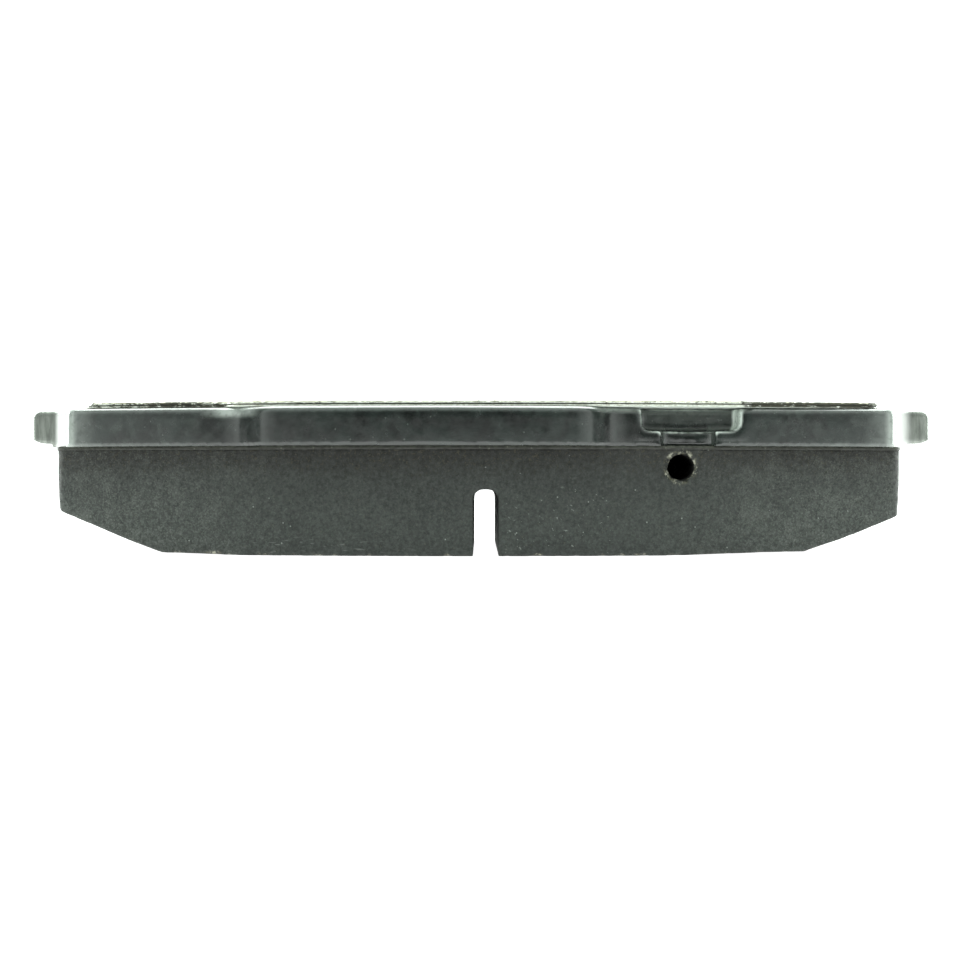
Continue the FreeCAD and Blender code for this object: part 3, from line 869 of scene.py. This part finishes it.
def build_bond():
    """The bond line, squeezed out unevenly all round and lapping over the seams above and below it."""
    low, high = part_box("bond_adhesive")

    def rings(loop, index):
        """The line's cross-section, plain round the holes inside it."""
        squeeze = (BOND_SQUEEZE_MM - 0.05 * rough(as_3d(loop, low[2]), 1.6 * MM, 51)).clip(0.08, 0.22) * MM
        lap = BOND_LAP
        if index:
            squeeze, lap = squeeze * 0, 0.0
        return ((low[2] - lap, squeeze + 0.5 * lap), (low[2] + 0.2 * lap, squeeze), (high[2], squeeze),
                (high[2] + lap, squeeze + lap))

    loops = node_outlines("bond_adhesive", 2 * OUTLINE_STEP)
    obj = new_object("bond_line", film_mesh("bond_line", loops, rings), adhesive_material())
    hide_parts("bond_adhesive")


def build_shim():
    """The shim's layers, each with its own cut edge: burred steel, squeezed rubber and a chipped coat."""
    core = rubber_material("shim_rubber", CORE_DARK, CORE_LIGHT, 0.34, 0.20, INNER_REACH_MM)
    coat = rubber_material("shim_coat", COAT_DARK, COAT_LIGHT, 0.60, 0.46, OUTER_REACH_MM)
    # painted light: the glue's edge is near white, filling the shade under the shim
    glue = rubber_material("shim_glue", GLUE_DARK, GLUE_LIGHT, 0.4, 0.4, INNER_REACH_MM)
    bright = steel_material("shim_inner_steel", 0.74, 0.43, INNER_REACH_MM)
    smeared = steel_material("shim_outer_steel", 0.60, 0.40, OUTER_REACH_MM)

    # node, material and slot; then, in millimetres, how far its edge is set in, how ragged it is and in lumps
    # of what size; and how torn its upper corner is
    layers = (
        ("shim_adhesive", glue, "shim_glue", -0.42, 0.06, 1.8, 0.0),
        ("shim_inner_steel", bright, "shim_steel", 0.05, 0.03, 0.9, 0.0),
        ("shim_damping_core", core, "shim_rubber", -0.02, 0.05, 1.2, 0.0),
        ("shim_outer_steel", smeared, "shim_steel", 0.03, 0.05, 0.5, 0.0),
        ("shim_rubber_coat", coat, "shim_coat", 0.12, 0.18, 0.6, 1.0),
    )
    for number, (node, material, slot, inset, ragged, size, torn) in enumerate(layers):
        low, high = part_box(node)

        def rings(loop, index):
            """The layer's cross-section; the higher a layer, the further back it ends at the left tip."""
            place = as_3d(loop, low[2])
            edge = (inset + ragged * rough(place, size * MM, 60 + 5 * number)).clip(-0.5, 2) * MM
            edge = edge + SHIM_TIP_STEP_MM * number ** 2 * MM * ramp(-loop[:, 0], *SHIM_TIP_XS)
            tall = high[2] - low[2]
            turn = 0.25 * tall
            lost = torn * tall * ramp(rough(place, 0.5 * MM, 90), 0.0, 1.1)
            return ((low[2], edge + turn), (low[2] + 0.3 * turn, edge), (high[2] - turn - 0.6 * lost, edge),
                    (high[2] - 0.7 * lost, edge + turn), (high[2], edge + (0.1 + 0.9 * torn) * MM))

        sheet = film_mesh(node, node_outlines(node, OUTLINE_STEP), rings)
        obj = new_object(node + "_sheet", sheet, material)
        for polygon in obj.data.polygons:
            polygon.use_smooth = abs(polygon.normal.z) < FLAT_NORMAL
        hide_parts(node)


# ---------------------------------------------------------------- studio

def area_light(name, place, size):
    """A panel of the common brightness that faces the pad."""
    light = bpy.data.lights.new(name, "AREA")
    light.shape = "RECTANGLE"
    light.size, light.size_y = size
    light.energy = PANEL_GLOW * size[0] * size[1] * pi
    light.color = TENT_COLOUR
    obj = bpy.data.objects.new(name, light)
    bpy.context.scene.collection.objects.link(obj)
    obj.location = place
    aim = obj.location - obj.location.__class__(PANEL_AIM)
    obj.rotation_euler = aim.to_track_quat("Z", "Y").to_euler()


def build_floor():
    """A plain white sheet, lit as on a light table, so the pad throws no shadow on it; clear from below."""
    mesh = bpy.data.meshes.new("floor")
    corners = [(-1, -1), (1, -1), (1, 1), (-1, 1)]
    corners = [(FLOOR_REACH * x, FLOOR_REACH * y, 0) for x, y in corners]
    mesh.from_pydata(corners, [], [(0, 1, 2, 3)])
    floor = bpy.data.objects.new("floor", mesh)
    bpy.context.scene.collection.objects.link(floor)
    material = bpy.data.materials.new("floor")
    material.use_nodes = True
    shader = material.node_tree.nodes["Principled BSDF"]
    shader.inputs["Base Color"].default_value = (0.4, 0.4, 0.4, 1)
    shader.inputs["Roughness"].default_value = 0.9
    shader.inputs["Specular IOR Level"].default_value = 0.0
    shader.inputs["Emission Color"].default_value = (1, 1, 1, 1)
    shader.inputs["Emission Strength"].default_value = FLOOR_GLOW
    nodes, links = material.node_tree.nodes, material.node_tree.links
    either = nodes.new("ShaderNodeMixShader")
    links.new(nodes.new("ShaderNodeNewGeometry").outputs["Backfacing"], either.inputs[0])
    links.new(shader.outputs[0], either.inputs[1])
    links.new(nodes.new("ShaderNodeBsdfTransparent").outputs[0], either.inputs[2])
    links.new(either.outputs[0], nodes["Material Output"].inputs["Surface"])
    mesh.materials.append(material)


def build_studio():
    """A white tent with three panels: bright behind, beside and above the pad, and dim round the camera.

    The camera itself sees the tent's dim parts as a plain white backdrop.
    """
    world = bpy.data.worlds.new("studio")
    bpy.context.scene.world = world
    world.use_nodes = True
    tree = world.node_tree
    ground = tree.nodes["Background"]
    where = tree.nodes.new("ShaderNodeTexCoord").outputs["Generated"]
    split = tree.nodes.new("ShaderNodeSeparateXYZ")
    tree.links.new(where, split.inputs[0])
    total = None
    for low, high, rise in TENT_FADES:
        fade = tree.nodes.new("ShaderNodeMapRange")
        fade.interpolation_type = "SMOOTHSTEP"
        tree.links.new(split.outputs["Y"], fade.inputs["Value"])
        for key, number in (("From Min", low), ("From Max", high), ("To Min", 0.0), ("To Max", rise)):
            fade.inputs[key].default_value = number
        add = tree.nodes.new("ShaderNodeMath")
        add.inputs[0].default_value = FRONT_GLOW
        if total:
            tree.links.new(total, add.inputs[0])
        tree.links.new(fade.outputs["Result"], add.inputs[1])
        total = add.outputs[0]
    seen = tree.nodes.new("ShaderNodeMath")
    seen.operation = "MULTIPLY"
    tree.links.new(tree.nodes.new("ShaderNodeLightPath").outputs["Is Camera Ray"], seen.inputs[0])
    seen.inputs[1].default_value = BACKDROP_GLOW
    brightest = tree.nodes.new("ShaderNodeMath")
    brightest.operation = "MAXIMUM"
    tree.links.new(total, brightest.inputs[0])
    tree.links.new(seen.outputs[0], brightest.inputs[1])
    tree.links.new(brightest.outputs[0], ground.inputs["Strength"])
    ground.inputs["Color"].default_value = (*TENT_COLOUR, 1)
    area_light("overhead", OVERHEAD_PLACE, OVERHEAD_SIZE)
    for name, side in (("left_panel", -1), ("right_panel", 1)):
        area_light(name, (SIDE_PLACE[0] * side, *SIDE_PLACE[1:]), SIDE_SIZE)


def build_camera():
    """A level camera in front of the pad's outer edge."""
    data = bpy.data.cameras.new("camera")
    data.lens = LENS
    data.sensor_width = 36
    data.clip_start = 0.01
    camera = bpy.data.objects.new("camera", data)
    bpy.context.scene.collection.objects.link(camera)
    camera.location = (CAMERA_SIDE, LAND_Y - CAMERA_DISTANCE, CAMERA_HEIGHT)
    camera.rotation_euler = (radians(90), 0, 0)
    bpy.context.scene.camera = camera


build_plate()
build_compound()
build_bond()
build_shim()
build_floor()
build_studio()
build_camera()
bpy.context.scene.view_settings.view_transform = "Standard"
